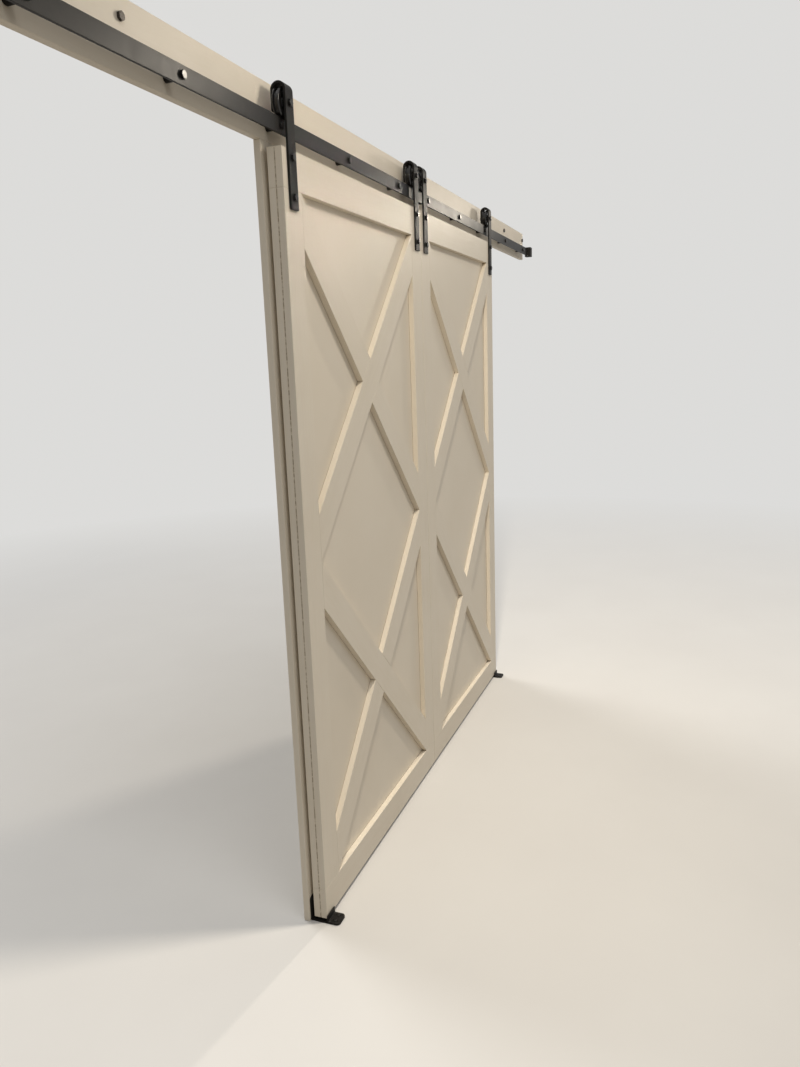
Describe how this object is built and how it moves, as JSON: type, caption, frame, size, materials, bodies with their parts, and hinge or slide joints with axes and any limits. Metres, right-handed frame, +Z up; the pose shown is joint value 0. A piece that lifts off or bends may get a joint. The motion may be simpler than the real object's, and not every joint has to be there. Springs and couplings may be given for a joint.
{
  "type": "sliding barn door",
  "caption": "Pair of white X-braced sliding barn door leaves on black strap hangers with grooved wheels, hung from a flat rail on a header board, with door casing and floor guides.",
  "frame": {"origin": "centre of the head casing's back face, on the wall plane; the floor is 2.1195 m below it", "axes": "+X along the rail, to the right seen from the room; +Y into the wall; +Z up"},
  "size_m": [3.907, 0.156, 2.3037],
  "materials": {
    "white_paint": "brushed satin paint",
    "black_steel": "satin powder coat",
    "wheel_steel": "gloss black",
    "dark_steel": "dark grey",
    "bearing_steel": "ground"
  },
  "bodies": {
    "frame": {"guide_foot_screws": "black_steel", "guide_wall_screws": "black_steel", "head_casing": "white_paint", "header_board": "white_paint", "header_screws": "dark_steel", "left_casing": "white_paint", "left_end_stop": "black_steel", "left_guide_bracket": "black_steel", "left_guide_lip": "black_steel", "left_rail": "black_steel", "rail_screws": "black_steel", "rail_spacers": "black_steel", "right_casing": "white_paint", "right_end_stop": "black_steel", "right_guide_bracket": "black_steel", "right_guide_lip": "black_steel", "right_rail": "black_steel", "stop_screws": "black_steel"},
    "left_leaf": {"left_axle_bolts": "black_steel", "left_back_rails": "white_paint", "left_back_stiles": "white_paint", "left_bushes": "black_steel", "left_front_bottom_rail": "white_paint", "left_front_inner_stile": "white_paint", "left_front_outer_stile": "white_paint", "left_front_top_rail": "white_paint", "left_inner_strap": "black_steel", "left_lower_brace": "white_paint", "left_lower_half_braces": "white_paint", "left_nuts": "black_steel", "left_outer_strap": "black_steel", "left_panel": "white_paint", "left_strap_bolts": "black_steel", "left_upper_brace": "white_paint", "left_upper_half_braces": "white_paint"},
    "right_leaf": {"right_axle_bolts": "black_steel", "right_back_rails": "white_paint", "right_back_stiles": "white_paint", "right_bushes": "black_steel", "right_front_bottom_rail": "white_paint", "right_front_inner_stile": "white_paint", "right_front_outer_stile": "white_paint", "right_front_top_rail": "white_paint", "right_inner_strap": "black_steel", "right_lower_brace": "white_paint", "right_lower_half_braces": "white_paint", "right_nuts": "black_steel", "right_outer_strap": "black_steel", "right_panel": "white_paint", "right_strap_bolts": "black_steel", "right_upper_brace": "white_paint", "right_upper_half_braces": "white_paint"},
    "left_outer_roller": {"left_outer_wheel": "wheel_steel", "left_outer_bearing": "bearing_steel"},
    "left_inner_roller": {"left_inner_wheel": "wheel_steel", "left_inner_bearing": "bearing_steel"},
    "right_outer_roller": {"right_outer_wheel": "wheel_steel", "right_outer_bearing": "bearing_steel"},
    "right_inner_roller": {"right_inner_wheel": "wheel_steel", "right_inner_bearing": "bearing_steel"}
  },
  "joints": [
    {"name": "left_slide", "type": "slide", "parent": "frame", "child": "left_leaf", "axis": [1, 0, 0], "range_m": [-0.915, 0]},
    {"name": "left_outer_spin", "type": "hinge", "parent": "left_leaf", "child": "left_outer_roller", "pos_m": [-0.9725, -0.056, 0.1308], "axis": [0, 1, 0], "range_deg": [-1589, 0]},
    {"name": "left_inner_spin", "type": "hinge", "parent": "left_leaf", "child": "left_inner_roller", "pos_m": [-0.0465, -0.056, 0.1308], "axis": [0, 1, 0], "range_deg": [-1589, 0]},
    {"name": "right_slide", "type": "slide", "parent": "frame", "child": "right_leaf", "axis": [1, 0, 0], "range_m": [0, 0.864]},
    {"name": "right_outer_spin", "type": "hinge", "parent": "right_leaf", "child": "right_outer_roller", "pos_m": [0.9725, -0.056, 0.1308], "axis": [0, 1, 0], "range_deg": [0, 1501]},
    {"name": "right_inner_spin", "type": "hinge", "parent": "right_leaf", "child": "right_inner_roller", "pos_m": [0.0465, -0.056, 0.1308], "axis": [0, 1, 0], "range_deg": [0, 1501]}
  ],
  "couplings": [
    {"joint": "left_outer_spin", "follows": "left_slide", "rad_per_m": 30.303},
    {"joint": "left_inner_spin", "follows": "left_slide", "rad_per_m": 30.303},
    {"joint": "right_outer_spin", "follows": "right_slide", "rad_per_m": 30.303},
    {"joint": "right_inner_spin", "follows": "right_slide", "rad_per_m": 30.303}
  ]
}
